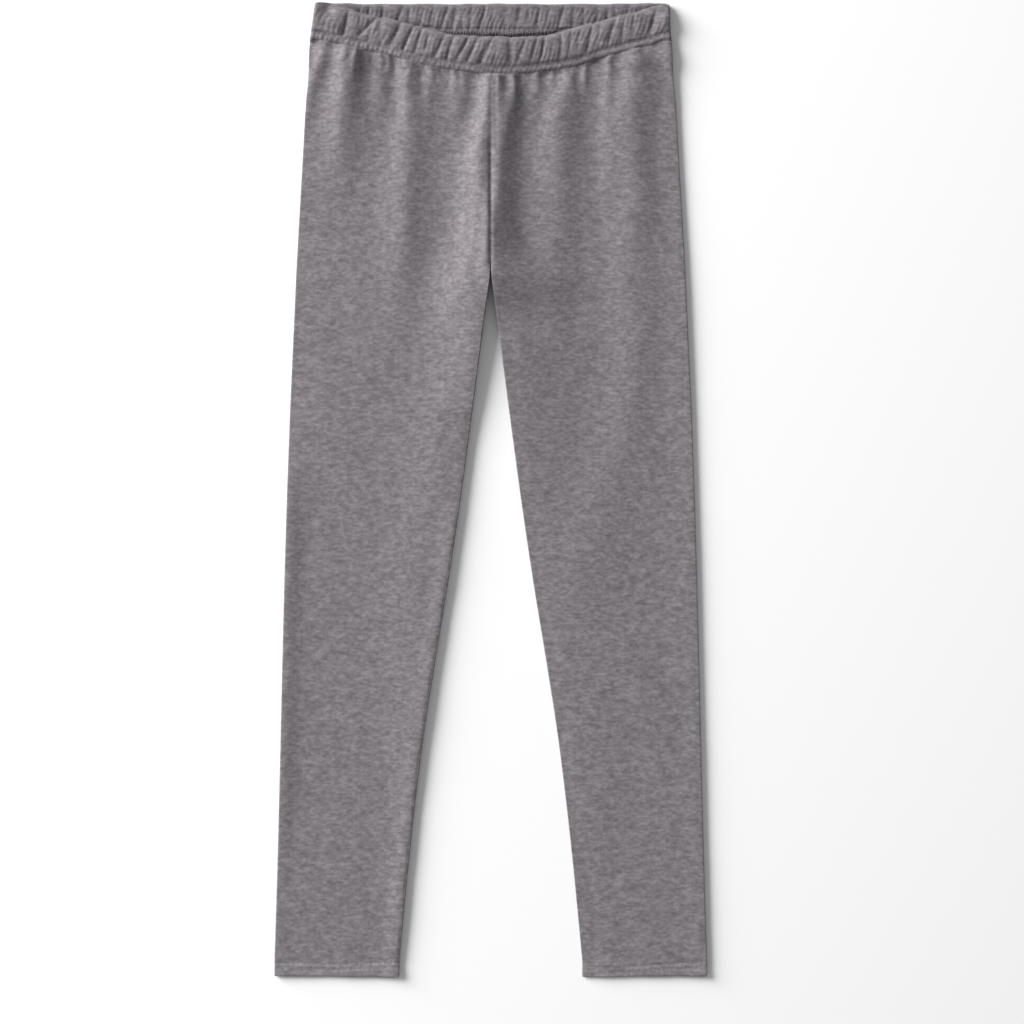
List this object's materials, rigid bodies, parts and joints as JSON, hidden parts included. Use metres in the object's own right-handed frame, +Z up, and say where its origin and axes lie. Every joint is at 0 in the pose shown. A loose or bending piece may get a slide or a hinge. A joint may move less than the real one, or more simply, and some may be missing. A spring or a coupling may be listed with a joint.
{
  "type": "leggings",
  "caption": "Pull-on leggings in brushed jersey, laid flat with the front up: slim legs, gathered elastic waist casing and turned-up hems.",
  "frame": {"origin": "on the surface the leggings lie on, under the middle of their length and width", "axes": "+X to the wearer's left, +Y to the waist, +Z up out of the front of the garment"},
  "size_m": [0.374, 0.838, 0.0083],
  "materials": {
    "leg_jersey": "matt heather grey brushed jersey with a light nap",
    "casing_jersey": "matt heather grey brushed jersey, gathered over elastic",
    "hem_jersey": "matt heather grey brushed jersey, turned up and coverstitched"
  },
  "bodies": {
    "root": {"right_leg": "leg_jersey", "left_leg": "leg_jersey", "waist_casing": "casing_jersey", "right_hem": "hem_jersey", "left_hem": "hem_jersey"}
  },
  "joints": []
}
